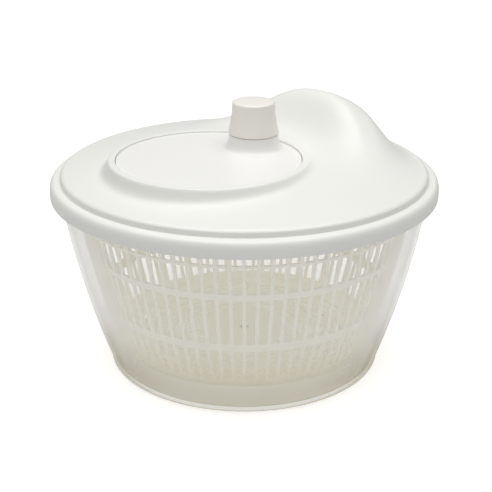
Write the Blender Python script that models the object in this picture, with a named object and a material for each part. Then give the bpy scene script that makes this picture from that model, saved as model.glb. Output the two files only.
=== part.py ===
"""A hand-cranked salad spinner: bowl, slotted basket, geared lid, crank disc and knob.

Metres, +Z up. The origin is on the spin axis, at the height of the surface the bowl
stands on. The crank disc turns about its own axis, beside the spin axis. A ring of
inner teeth under the disc drives a pinion on the spin axis, and the pinion's shaft
turns a plate whose lugs sit in notches in the basket's rim.
"""

import math

import bmesh
import bpy
from mathutils import Vector

MM = 0.001

# Fits
SEAT_GAP = 0.3 * MM             # between two pieces that rest on or grip each other
RUN_GAP = 0.3 * MM              # between a shaft and the bore it runs in
LID_SIDE_GAP = 0.7 * MM         # between the lid's flange and the bowl's lip
SPIN_GAP = 6.5 * MM             # between the bowl's inside and the basket

# Bowl
BOWL_FOOT_R = 82.0 * MM
BOWL_TOP_R = 114.3 * MM         # outside of the wall, just under the lip
BOWL_HEIGHT = 120.4 * MM
BOWL_WALL = 2.0 * MM
BOWL_FLARE = 5.0 * MM           # from the foot's edge out to where the wall starts
BOWL_WALL_START = 8.0 * MM      # height where the wall starts
BOWL_BELLY = 0.45               # how much the wall bows out, 0 for a straight cone
BOWL_LIP = 3.0 * MM             # how far the lip stands out
BOWL_LIP_HEIGHT = 2.8 * MM
LIP_EDGE = 0.65 * MM            # chamfer of the lip
BOWL_FLOOR_Z = 1.5 * MM         # underside of the floor, inside the foot ring
FOOT_WIDTH = 6.0 * MM

# Pivot in the middle of the bowl
PIN_R = 2.0 * MM
PIN_DEPTH = 4.0 * MM            # how deep the pin sits in its boss
PIN_BOSS_R = 7.0 * MM
PIN_BOSS_HEIGHT = 4.5 * MM      # above the bowl's floor
BUSH_CAP = 1.2 * MM             # end of the pivot bush, which rides on the pin
BUSH_WALL = 4.2 * MM
BUSH_LENGTH = 5.8 * MM          # below the basket's floor
EYE_R = 2.1 * MM                # hole in the basket's floor for the bush's stem
EYE_RECESS_R = 3.4 * MM         # recess above it for the stem's snap head
EYE_RECESS = 1.0 * MM

# Basket
BASKET_FLOOR_Z = 15.5 * MM      # underside of the floor
BASKET_FLOOR = 2.0 * MM
BASKET_WALL = 1.8 * MM
BASKET_BELOW_RIM = 3.4 * MM     # basket rim below the bowl's rim
BASKET_RIM_FLARE = 1.5 * MM
BASKET_CORNER = 3.5 * MM        # chamfer between floor and wall
CORNER_DRAW = 0.4 * MM          # how far the middle of the chamfer stays within the wall
RIB_COUNT = 80                  # upright ribs round the wall
RIB_WIDTH = 2.2 * MM
RIM_BAND = 10.0 * MM            # plain band above the slots
TOP_SLOT = 4.5 * MM             # the row of small windows under the rim band
THIN_RING = 2.0 * MM
UPPER_SLOT = 16.6 * MM
UPPER_RING = 4.3 * MM
LOWER_RING = 5.5 * MM
FOOT_BAND = 6.3 * MM            # plain band below the slots
TALL_SHARE = 0.587              # share of the middle row in the height of the two tall rows
NOTCH_COUNT = 4                 # rim notches for the drive lugs
FLOOR_SPOKES = 10
FLOOR_SPOKE_WIDTH = 3.5 * MM
FLOOR_SPOKE_TURN = -95.0        # degrees, direction of the first spoke
FLOOR_DISC_R = 29.5 * MM        # plain middle of the floor
FLOOR_SLOT = 2.6 * MM           # width of an arc slot
FLOOR_LAND = 3.6 * MM           # floor left between two arc slots

# Lid shell
LID_WALL = 2.0 * MM             # flange and skirt
LID_SKIN = 2.2 * MM             # top surface
FLANGE_DROP = 7.7 * MM          # how far the flange hangs below the bowl's rim
FLANGE_TOP = 2.1 * MM           # flange above the seat
FLANGE_ROUND = 3.0 * MM         # rolled edge, across and down
FLANGE_ROLL = 5.0 * MM
STEP_HEIGHT = 6.7 * MM          # edge of the top surface above the seat
STEP_INSET = 6.8 * MM           # step's foot, in from the flange's outer edge
STEP_ROUND = 3.4 * MM           # rounded edge of the top surface, across and down
STEP_ROLL = 2.2 * MM
SKIRT_DROP = 2.9 * MM
SKIRT_GAP = 0.9 * MM            # between the skirt and the bowl's inside
DOME_RISE = 12.3 * MM
DOME_POWER = 1.6                # 2 for a round dome, less for a more pointed one
DOME_TILT = 0.33                # extra rise towards the palm rest
HUMP_HEIGHT = 28.2 * MM
HUMP_REACH = 65.4 * MM          # from the spin axis to the crest
HUMP_LENGTH = 36.9 * MM
HUMP_WIDTH = 55.3 * MM
HUMP_POWER = 2.6                # 2 for round shoulders, more for squarer ones
HUMP_BLEND_IN = 36.0 * MM       # flank beside the crank disc
HUMP_BLEND_OUT = 29.7 * MM      # flank beside the lid's edge
COLLAR_RISE = 0.8 * MM          # collar above the crank disc
COLLAR_WIDTH = 3.7 * MM
COLLAR_EDGE = 0.6 * MM          # chamfer beside the groove
COLLAR_SPREAD = 0.5             # share of the room beside it that the collar's foot takes
WELL_FLOOR = 2.2 * MM
WELL_BOSS = 2.4 * MM            # bearing bosses under the well's floor
BOSS_WALL = 2.7 * MM

# Gears
GEAR_MODULE = 1.5 * MM
RING_TEETH = 50
PINION_TEETH = 12
PRESSURE_ANGLE = math.radians(20)
TOOTH_PLAY = 0.3 * MM           # taken off the thickness of each gear's teeth
RING_RIM = 3.6 * MM
RING_ADDENDUM = 0.9 * MM        # short, so that its tips clear the pinion's flanks
LUG_R = 4.0 * MM
LUG_MERGE = 0.5 * MM            # how deep a screw lug sits in the ring gear's rim
LUG_ANGLES = (102.0, 222.0, 342.0)
RING_SCREW_R = 1.0 * MM
RING_SCREW_HEAD_R = 2.2 * MM
RING_SCREW_HEAD = 2.0 * MM
RING_SCREW_BITE = 1.6 * MM

# Crank disc
CRANK_TURN = 221.5              # degrees, direction of the crank's axis from the spin axis
DISC_OVERHANG = 5.5 * MM        # disc edge beyond the ring gear's lugs
DISC_THICKNESS = 2.7 * MM
DISC_ROUND = 1.2 * MM
DISC_ABOVE_STEP = 10.6 * MM     # top of the disc above the edge of the lid's top
WELL_GAP = 0.35 * MM            # groove round the disc
WELL_DEPTH = 10.4 * MM
JOURNAL_R = 6.0 * MM
JOURNAL_PROUD = 0.1 * MM        # journal's end below its bush
HUB_R = 9.0 * MM
CRANK_BUSH_WALL = 1.7 * MM
BUSH_FLANGE = 2.5 * MM
BUSH_FLANGE_HEIGHT = 1.3 * MM
WASHER_THICKNESS = 1.1 * MM
WASHER_R = 9.2 * MM
CRANK_SCREW_R = 1.7 * MM
CRANK_SCREW_HEAD_R = 4.5 * MM
CRANK_SCREW_HEAD = 2.0 * MM
CRANK_SCREW_LENGTH = 10.0 * MM

# Knob
KNOB_TURN = 42.0                # degrees, direction of the knob from the crank's axis
PEDESTAL_R = 19.0 * MM
PEDESTAL_TOP_R = 15.3 * MM
PEDESTAL_HEIGHT = 8.5 * MM
PEDESTAL_INSET = 0.5 * MM       # pedestal's foot, in from the disc's edge
PEDESTAL_CAVITY_R = 12.5 * MM
PEDESTAL_SKIN = 2.1 * MM
PEDESTAL_EDGE = 0.5 * MM        # chamfer round its top
KNOB_FOOT_R = 15.7 * MM
KNOB_TOP_R = 13.2 * MM
KNOB_HEIGHT = 20.2 * MM
KNOB_ROUND = 2.2 * MM
KNOB_EDGE = 0.8 * MM            # chamfer round its foot
KNOB_WAIST = 1.7                # 1 for straight sides, more for hollow ones
SPINDLE_R = 3.0 * MM
SPINDLE_FLANGE_R = 5.5 * MM
SPINDLE_FLANGE = 2.4 * MM
SPINDLE_GRIP = 10.5 * MM        # how far the spindle reaches into the knob

# Drive shaft and plate
SHAFT_R = 4.0 * MM
SHAFT_SQUARE = 5.4 * MM         # side of its square end
SHAFT_BUSH_WALL = 1.7 * MM
PINION_TOP_GAP = 0.7 * MM       # between the pinion and the disc
PLATE_BELOW_RIM = 1.0 * MM      # plate's top below the basket's rim
PLATE_THICKNESS = 2.2 * MM
PLATE_GAP = 2.2 * MM            # between the plate's edge and the basket
PLATE_SKIRT = 5.0 * MM
PLATE_SKIRT_INSET = 2.0 * MM
PLATE_HUB_R = 6.8 * MM
PLATE_HUB_GAP = 0.5 * MM        # between the plate's hub and the lid's bearing
PLATE_WEB = 2.0 * MM            # below the square socket
LUG_GAP = 0.5 * MM              # each side of a drive lug in its notch
LUG_REACH = 1.5 * MM            # how far a drive lug enters the basket's wall
LUG_THINNER = 0.2 * MM          # below the plate's top and above its underside
PLATE_SCREW_R = 1.0 * MM
PLATE_SCREW_HEAD_R = 3.2 * MM
PLATE_SCREW_HEAD = 2.0 * MM
PLATE_SCREW_LENGTH = 7.0 * MM

# Cutters
CUT_PAST = 1.0 * MM             # how far a cutter runs past the face it opens

# Facets
BIG_SIDES = 40
MID_SIDES = 24
SMALL_SIDES = 16
SCREW_SIDES = 12
FLOOR_ARC_STEPS = 3

# Heights that follow from the sizes above
BOWL_FLOOR_TOP = BOWL_FLOOR_Z + BOWL_WALL
BOSS_TOP = BOWL_FLOOR_TOP + PIN_BOSS_HEIGHT
BASKET_FLOOR_TOP = BASKET_FLOOR_Z + BASKET_FLOOR
EYE_SEAT_Z = BASKET_FLOOR_TOP - EYE_RECESS
PIN_BOTTOM = BOSS_TOP - PIN_DEPTH + SEAT_GAP
BUSH_TOP = BASKET_FLOOR_Z - SEAT_GAP
PIN_TOP = BUSH_TOP - BUSH_CAP - SEAT_GAP
BASKET_RIM_Z = BOWL_HEIGHT - BASKET_BELOW_RIM
SEAT_Z = BOWL_HEIGHT + SEAT_GAP
FLANGE_BOTTOM_Z = SEAT_Z - FLANGE_DROP
FLANGE_TOP_Z = SEAT_Z + FLANGE_TOP
STEP_Z = SEAT_Z + STEP_HEIGHT
DISC_TOP_Z = STEP_Z + DISC_ABOVE_STEP
DISC_BOTTOM_Z = DISC_TOP_Z - DISC_THICKNESS
COLLAR_Z = DISC_TOP_Z + COLLAR_RISE
WELL_Z = DISC_TOP_Z - WELL_DEPTH
WELL_BOTTOM_Z = WELL_Z - WELL_FLOOR
BEARING_Z = WELL_BOTTOM_Z - WELL_BOSS
JOURNAL_END_Z = BEARING_Z - JOURNAL_PROUD
BUSH_SEAT_Z = WELL_Z + SEAT_GAP
BUSH_FACE_Z = BUSH_SEAT_Z + BUSH_FLANGE_HEIGHT
RING_TOP_Z = DISC_BOTTOM_Z - SEAT_GAP
RING_BOTTOM_Z = BUSH_FACE_Z + RUN_GAP
PEDESTAL_Z = DISC_TOP_Z + PEDESTAL_HEIGHT
KNOB_Z = PEDESTAL_Z + SEAT_GAP
KNOB_TOP_Z = KNOB_Z + KNOB_HEIGHT
PINION_TOP_Z = DISC_BOTTOM_Z - PINION_TOP_GAP
PINION_BOTTOM_Z = BUSH_FACE_Z + RUN_GAP
PLATE_TOP_Z = BASKET_RIM_Z - PLATE_BELOW_RIM
PLATE_BOTTOM_Z = PLATE_TOP_Z - PLATE_THICKNESS
PLATE_HUB_Z = BEARING_Z - PLATE_HUB_GAP
SHAFT_END_Z = PLATE_BOTTOM_Z + PLATE_WEB + SEAT_GAP

# Radii and places that follow
LIP_R = BOWL_TOP_R + BOWL_LIP
FLANGE_INNER_R = LIP_R + LID_SIDE_GAP
LID_R = FLANGE_INNER_R + LID_WALL
STEP_R = LID_R - STEP_INSET
LID_TOP_R = STEP_R - STEP_ROUND
SKIRT_R = BOWL_TOP_R - BOWL_WALL - SKIRT_GAP
RING_PITCH_R = GEAR_MODULE * RING_TEETH / 2
PINION_PITCH_R = GEAR_MODULE * PINION_TEETH / 2
CRANK_OFFSET = RING_PITCH_R - PINION_PITCH_R
RING_ROOT_R = RING_PITCH_R + 1.25 * GEAR_MODULE
RING_OUTER_R = RING_ROOT_R + RING_RIM
LUG_ORBIT = RING_OUTER_R + LUG_R - LUG_MERGE
DISC_R = LUG_ORBIT + LUG_R + DISC_OVERHANG
WELL_R = DISC_R + WELL_GAP
COLLAR_R = WELL_R + COLLAR_WIDTH
COLLAR_BLEND = COLLAR_SPREAD * (LID_TOP_R - CRANK_OFFSET - COLLAR_R)
KNOB_ORBIT = DISC_R - PEDESTAL_INSET - PEDESTAL_R


def direction(degrees, reach=1.0):
    """The level vector of that length at that bearing."""
    turn = math.radians(degrees)
    return Vector((reach * math.cos(turn), reach * math.sin(turn), 0))


SPIN_AXIS = Vector((0, 0, 0))
CRANK_AXIS = direction(CRANK_TURN, CRANK_OFFSET)
HUMP_TURN = CRANK_TURN - 180


# ---------------------------------------------------------------- scene helpers

def clear_scene():
    for old in list(bpy.context.scene.objects):
        bpy.data.objects.remove(old, do_unlink=True)


def plastic(name, colour, roughness, alpha=1.0):
    """A Principled material for one sub-part."""
    material = bpy.data.materials.new(name)
    material.use_nodes = True
    shader = material.node_tree.nodes["Principled BSDF"]
    shader.inputs["Base Color"].default_value = (*colour, 1)
    shader.inputs["Roughness"].default_value = roughness
    shader.inputs["Alpha"].default_value = alpha
    material.diffuse_color = (*colour, alpha)
    return material


def steel(name):
    material = plastic(name, (0.62, 0.62, 0.63), 0.3)
    material.node_tree.nodes["Principled BSDF"].inputs["Metallic"].default_value = 1
    return material


def axis_empty(name, place, parent=None):
    """An empty on a joint's axis, for the pieces that turn about it."""
    empty = bpy.data.objects.new(name, None)
    empty.location = place
    empty.parent = parent
    bpy.context.scene.collection.objects.link(empty)
    return empty


def add_object(name, bm, material=None, parent=None, place=(0, 0, 0)):
    """Close the bmesh into an object, facing out and smooth over its round faces."""
    bmesh.ops.recalc_face_normals(bm, faces=bm.faces)
    mesh = bpy.data.meshes.new(name)
    bm.to_mesh(mesh)
    bm.free()
    mesh.shade_smooth()
    mesh.set_sharp_from_angle(angle=math.radians(32))
    if material:
        mesh.materials.append(material)
    made = bpy.data.objects.new(name, mesh)
    made.location = place
    made.parent = parent
    bpy.context.scene.collection.objects.link(made)
    return made


def turned(name, profile, sides, **where):
    """Spin a half profile of (radius, height) points about its own axis.

    A profile that starts and ends on the axis is left open there, any other is a loop.
    """
    bm = bmesh.new()
    verts = [bm.verts.new((radius, 0, height)) for radius, height in profile]
    edges = [bm.edges.new(pair) for pair in zip(verts, verts[1:])]
    if profile[0][0] > 0:
        edges.append(bm.edges.new((verts[-1], verts[0])))
    bmesh.ops.spin(
        bm, geom=verts + edges, cent=(0, 0, 0), axis=(0, 0, 1),
        angle=math.tau, steps=sides, use_merge=True,
    )
    bmesh.ops.remove_doubles(bm, verts=bm.verts, dist=1e-6)
    return add_object(name, bm, **where)


def prism(name, outline, bottom, top, **where):
    """An outline of (x, y) points, extruded from one height to another."""
    bm = bmesh.new()
    face = bm.faces.new([bm.verts.new((x, y, bottom)) for x, y in outline])
    raised = bmesh.ops.extrude_face_region(bm, geom=[face])["geom"]
    corners = [item for item in raised if isinstance(item, bmesh.types.BMVert)]
    bmesh.ops.translate(bm, verts=corners, vec=(0, 0, top - bottom))
    return add_object(name, bm, **where)


def rod(name, radius, bottom, top, sides, **where):
    return turned(name, [(0, bottom), (radius, bottom), (radius, top), (0, top)], sides, **where)


def combine(target, other, operation):
    """Cut the other object from the target, or join it to the target."""
    modifier = target.modifiers.new(other.name, "BOOLEAN")
    modifier.operation = operation
    modifier.solver = "EXACT"
    modifier.object = other
    other.hide_render = True
    other.display_type = "WIRE"


def screw(name, radius, length, head_r, head, seat, material, parent, place=(0, 0, 0)):
    """A pan head screw standing upright, its head below the height it seats at."""
    half = 0.55 * head_r
    profile = [
        (0, seat - head), (half, seat - head), (head_r, seat - 0.5 * head), (head_r, seat),
        (radius, seat), (radius, seat + length - radius), (0, seat + length),
    ]
    return turned(name, profile, SCREW_SIDES, material=material, parent=parent, place=place)


def flanged_bush(name, inner, outer, flange, bottom, material, parent=None, place=(0, 0, 0)):
    """A bearing bush, its flange lying on the floor of the lid's well."""
    profile = [
        (inner, bottom), (outer, bottom), (outer, BUSH_SEAT_Z), (flange, BUSH_SEAT_Z),
        (flange, BUSH_FACE_Z), (inner, BUSH_FACE_Z),
    ]
    return turned(name, profile, MID_SIDES, material=material, parent=parent, place=place)


# ---------------------------------------------------------------- bowl

def bowl_radius(height):
    """Outside of the bowl's wall, a cone that bows out a little."""
    span = BOWL_HEIGHT - BOWL_LIP_HEIGHT - BOWL_WALL_START
    share = (height - BOWL_WALL_START) / span
    start = BOWL_FOOT_R + BOWL_FLARE
    return start + (BOWL_TOP_R - start) * share * (1 + BOWL_BELLY * (1 - share))


def bowl_levels():
    """Heights of the wall's rings, closer together near the bottom."""
    top = BOWL_HEIGHT - BOWL_LIP_HEIGHT
    steps = 4
    return [
        BOWL_WALL_START + (top - BOWL_WALL_START) * (step / steps) ** 1.3
        for step in range(steps + 1)
    ]


def make_bowl():
    lip_bottom = BOWL_HEIGHT - BOWL_LIP_HEIGHT
    outside = [(bowl_radius(height), height) for height in bowl_levels()]
    inside = [(radius - BOWL_WALL, height) for radius, height in reversed(outside)]
    start = BOWL_FOOT_R + BOWL_FLARE
    profile = [
        (0, BOWL_FLOOR_Z),
        (BOWL_FOOT_R - FOOT_WIDTH, BOWL_FLOOR_Z),
        (BOWL_FOOT_R - FOOT_WIDTH, 0),
        (BOWL_FOOT_R, 0),
        (start - 0.32 * BOWL_FLARE, 0.19 * BOWL_WALL_START),
        (start - 0.12 * BOWL_FLARE, 0.56 * BOWL_WALL_START),
        *outside,
        (LIP_R - LIP_EDGE, lip_bottom),
        (LIP_R, lip_bottom + LIP_EDGE),
        (LIP_R, BOWL_HEIGHT - LIP_EDGE),
        (LIP_R - LIP_EDGE, BOWL_HEIGHT),
        (BOWL_TOP_R - BOWL_WALL, BOWL_HEIGHT),
        *inside,
        (start - BOWL_WALL - 0.36 * BOWL_FLARE, BOWL_FLOOR_TOP + 0.5 * BOWL_WALL),
        (BOWL_FOOT_R - BOWL_WALL, BOWL_FLOOR_TOP),
        (PIN_BOSS_R, BOWL_FLOOR_TOP),
        (PIN_BOSS_R, BOSS_TOP),
        (PIN_R + SEAT_GAP, BOSS_TOP),
        (PIN_R + SEAT_GAP, BOSS_TOP - PIN_DEPTH),
        (0, BOSS_TOP - PIN_DEPTH),
    ]
    frosted = plastic("frosted_plastic", (0.80, 0.80, 0.76), 0.4, alpha=0.45)
    turned("bowl", profile, BIG_SIDES, material=frosted)


def make_pivot():
    """The pin in the bowl, and the bush on it that snaps into the basket's floor."""
    profile = [
        (0, PIN_BOTTOM), (PIN_R, PIN_BOTTOM), (PIN_R, PIN_TOP - 0.5 * PIN_R),
        (0.6 * PIN_R, PIN_TOP - 0.1 * PIN_R), (0, PIN_TOP),
    ]
    turned("pivot_pin", profile, SMALL_SIDES, material=steel("pin_steel"))
    bore = PIN_R + RUN_GAP
    outer = bore + BUSH_WALL
    stem = EYE_R - RUN_GAP
    head = EYE_RECESS_R - RUN_GAP
    profile = [
        (0, BUSH_TOP - BUSH_CAP), (bore, BUSH_TOP - BUSH_CAP), (bore, BUSH_TOP - BUSH_LENGTH),
        (outer, BUSH_TOP - BUSH_LENGTH), (outer, BUSH_TOP), (stem, BUSH_TOP),
        (stem, EYE_SEAT_Z + SEAT_GAP), (head, EYE_SEAT_Z + SEAT_GAP),
        (stem, BASKET_FLOOR_TOP), (0, BASKET_FLOOR_TOP),
    ]
    acetal = plastic("pivot_acetal", (0.75, 0.74, 0.70), 0.35)
    turned("pivot_bush", profile, SMALL_SIDES, material=acetal)


# ---------------------------------------------------------------- basket

def basket_radius(height):
    return bowl_radius(height) - BOWL_WALL - SPIN_GAP


def slot_levels():
    """Heights where the wall's rows of slots start and end, from the bottom up."""
    bottom = BASKET_FLOOR_Z + FOOT_BAND
    small_top = BASKET_RIM_Z - RIM_BAND
    small_bottom = small_top - TOP_SLOT
    upper_top = small_bottom - THIN_RING
    upper_bottom = upper_top - UPPER_SLOT
    tall_top = upper_bottom - UPPER_RING
    both = tall_top - bottom - LOWER_RING
    tall_bottom = tall_top - both * TALL_SHARE
    return [
        bottom, tall_bottom - LOWER_RING, tall_bottom, tall_top,
        upper_bottom, upper_top, small_bottom, small_top,
    ]


def rib_angles(radius, count, width, first, steps):
    """Both edges of each rib of a constant width, and the points between two ribs."""
    half = 0.5 * width / radius
    pitch = math.tau / count
    angles = []
    for number in range(count):
        middle = first + number * pitch
        open_span = pitch - 2 * half
        angles.append(middle - half)
        angles += [middle + half + open_span * step / steps for step in range(steps)]
    return angles


def ring_of_verts(bm, radius, height, angles):
    return [
        bm.verts.new((radius * math.cos(turn), radius * math.sin(turn), height))
        for turn in angles
    ]


def pairs_round(ring):
    return list(zip(ring, ring[1:] + ring[:1]))


def join_rings(bm, lower, upper):
    """Quads between two rings of the same count."""
    for (a, b), (d, c) in zip(pairs_round(lower), pairs_round(upper)):
        bm.faces.new((a, b, c, d))


def zip_rings(bm, coarse, fine):
    """Triangles between a ring and one with a whole multiple of its points."""
    share = len(fine) // len(coarse)
    fine_pairs = pairs_round(fine)
    for place, (here, after) in enumerate(pairs_round(coarse)):
        first = place * share
        for step in range(share):
            anchor = here if step < share // 2 else after
            bm.faces.new((anchor, *fine_pairs[first + step]))
        bm.faces.new((here, after, fine[first + share // 2]))


def lattice(bm, outer, inner, is_open):
    """Skin two stacks of rings and the walls of every opening between them.

    is_open(row, cell) says which cells are openings. The first ring is walled where an
    opening meets it, and both ends are otherwise left for other faces to join.
    """
    rows = len(outer) - 1
    cells = len(outer[0])
    for row in range(rows):
        for cell in range(cells):
            after = (cell + 1) % cells
            if not is_open(row, cell):
                for stack in (outer, inner):
                    bm.faces.new((
                        stack[row][cell], stack[row][after],
                        stack[row + 1][after], stack[row + 1][cell],
                    ))
                continue
            edges = []
            if not is_open(row, (cell - 1) % cells):
                edges.append(((row, cell), (row + 1, cell)))
            if not is_open(row, after):
                edges.append(((row, after), (row + 1, after)))
            if row == 0 or not is_open(row - 1, cell):
                edges.append(((row, cell), (row, after)))
            if row + 1 < rows and not is_open(row + 1, cell):
                edges.append(((row + 1, cell), (row + 1, after)))
            for (row_a, cell_a), (row_b, cell_b) in edges:
                bm.faces.new((
                    outer[row_a][cell_a], outer[row_b][cell_b],
                    inner[row_b][cell_b], inner[row_a][cell_a],
                ))


def basket_wall(bm):
    """Ribs, rings and rim. Returns the wall's lowest outer and inner ring."""
    levels = slot_levels() + [BASKET_RIM_Z]
    outer, inner = [], []
    for height in levels:
        radius = basket_radius(height)
        if height == BASKET_RIM_Z:
            radius += BASKET_RIM_FLARE
        angles = rib_angles(radius, RIB_COUNT, RIB_WIDTH, 0, 1)
        outer.append(ring_of_verts(bm, radius, height, angles))
        inner.append(ring_of_verts(bm, basket_radius(height) - BASKET_WALL, height, angles))
    rim_row = len(levels) - 2

    def is_open(row, cell):
        between_ribs = cell % 2 == 1
        if row == rim_row:
            return between_ribs and (cell // 2) % (RIB_COUNT // NOTCH_COUNT) == 0
        return between_ribs and row % 2 == 0

    lattice(bm, outer, inner, is_open)
    for cell, (here, after) in enumerate(pairs_round(outer[-1])):
        if not is_open(rim_row, cell):
            within = pairs_round(inner[-1])[cell]
            bm.faces.new((here, after, within[1], within[0]))
    return outer[0], inner[0]


def floor_radii():
    """Radii where the floor's arc slots start and end, as many as the floor has room for."""
    last = basket_radius(BASKET_FLOOR_Z) - BASKET_CORNER - FLOOR_LAND
    radii = []
    radius = FLOOR_DISC_R
    while radius + FLOOR_SLOT < last:
        radii += [radius, radius + FLOOR_SLOT]
        radius += FLOOR_SLOT + FLOOR_LAND
    return radii


def basket_floor(bm):
    """Spokes and arc slots. Returns the floor's outermost and innermost rings, both sides."""
    edge = basket_radius(BASKET_FLOOR_Z) - BASKET_CORNER
    under, over = [], []
    for radius in floor_radii() + [edge]:
        angles = rib_angles(
            radius, FLOOR_SPOKES, FLOOR_SPOKE_WIDTH, math.radians(FLOOR_SPOKE_TURN),
            FLOOR_ARC_STEPS,
        )
        under.append(ring_of_verts(bm, radius, BASKET_FLOOR_Z, angles))
        over.append(ring_of_verts(bm, radius, BASKET_FLOOR_TOP, angles))
    per_spoke = FLOOR_ARC_STEPS + 1
    lattice(bm, under, over, lambda row, cell: row % 2 == 0 and cell % per_spoke != 0)
    return under, over


def basket_eye(bm, under, over, angles):
    """The plain middle of the floor, its hole stepped for the snap head of the bush."""
    steps = [
        (EYE_R, BASKET_FLOOR_Z), (EYE_R, EYE_SEAT_Z),
        (EYE_RECESS_R, EYE_SEAT_Z), (EYE_RECESS_R, BASKET_FLOOR_TOP),
    ]
    ring = under
    for radius, height in steps:
        higher = ring_of_verts(bm, radius, height, angles)
        join_rings(bm, ring, higher)
        ring = higher
    join_rings(bm, ring, over)


def make_basket():
    bm = bmesh.new()
    wall_outer, wall_inner = basket_wall(bm)
    under, over = basket_floor(bm)
    corner_z = BASKET_FLOOR_Z + 0.5 * BASKET_CORNER
    corner_r = basket_radius(corner_z) - CORNER_DRAW
    count = len(under[-1])
    first = math.radians(FLOOR_SPOKE_TURN)
    even = [first + math.tau * (step - 0.5) / count for step in range(count)]
    turn_by = round((first % math.tau) / math.tau * len(wall_outer))
    wall_outer = wall_outer[turn_by:] + wall_outer[:turn_by]
    wall_inner = wall_inner[turn_by:] + wall_inner[:turn_by]
    for edge, wall, lift, draw in (
        (under[-1], wall_outer, 0, 0),
        (over[-1], wall_inner, BASKET_FLOOR, BASKET_WALL),
    ):
        corner = ring_of_verts(bm, corner_r - draw, corner_z + lift, even)
        join_rings(bm, edge, corner)
        zip_rings(bm, corner, wall)
    basket_eye(bm, under[0], over[0], even)
    white = plastic("basket_plastic", (0.78, 0.77, 0.72), 0.42)
    add_object("basket", bm, white, parent=axis_empty("basket_axis", SPIN_AXIS))


# ---------------------------------------------------------------- lid

def smooth_step(value):
    value = min(max(value, 0.0), 1.0)
    return value * value * (3 - 2 * value)


def lid_height(place):
    """Height of the lid's top surface: a low tilted dome and the palm rest on it."""
    reach = place.length
    along = place.dot(direction(HUMP_TURN))
    across = abs(place.dot(direction(HUMP_TURN + 90)))
    dome = DOME_RISE * (1 - (reach / LID_TOP_R) ** DOME_POWER)
    dome *= 1 + DOME_TILT * along / LID_TOP_R
    spread = ((along - HUMP_REACH) / HUMP_LENGTH) ** 2 + (across / HUMP_WIDTH) ** HUMP_POWER
    inner = smooth_step(((place - CRANK_AXIS).length - COLLAR_R) / HUMP_BLEND_IN)
    outer = smooth_step((LID_TOP_R - reach) / HUMP_BLEND_OUT)
    return STEP_Z + dome + HUMP_HEIGHT * math.exp(-spread) * inner * outer


def level_ring(bm, centre, radius, height):
    """A ring of vertices; the height is a number or a function of the place."""
    ring = []
    for step in range(BIG_SIDES):
        place = centre + direction(360 * step / BIG_SIDES, radius)
        level = height(place) if callable(height) else height
        ring.append(bm.verts.new((place.x, place.y, level)))
    return ring


def collar_rings(bm):
    """The rim round the crank disc, blended into the lid's surface."""
    rings = []
    for out, share in ((0, 1), (0.12, 0.8), (0.22, 0.4), (0.45, 0.14), (1, 0)):
        def blended(place, share=share):
            surface = lid_height(place)
            return surface + share * (COLLAR_Z - surface)
        rings.append(level_ring(bm, CRANK_AXIS, COLLAR_R + out * COLLAR_BLEND, blended))
    return rings


def spread_rings(bm, inner_r, outer_r, shares, sink):
    """Rings that pass from the circle round the crank to the circle round the spin axis."""
    return [
        level_ring(
            bm, CRANK_AXIS * (1 - share), inner_r + (outer_r - inner_r) * share,
            lambda place: lid_height(place) - sink,
        )
        for share in shares
    ]


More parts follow.
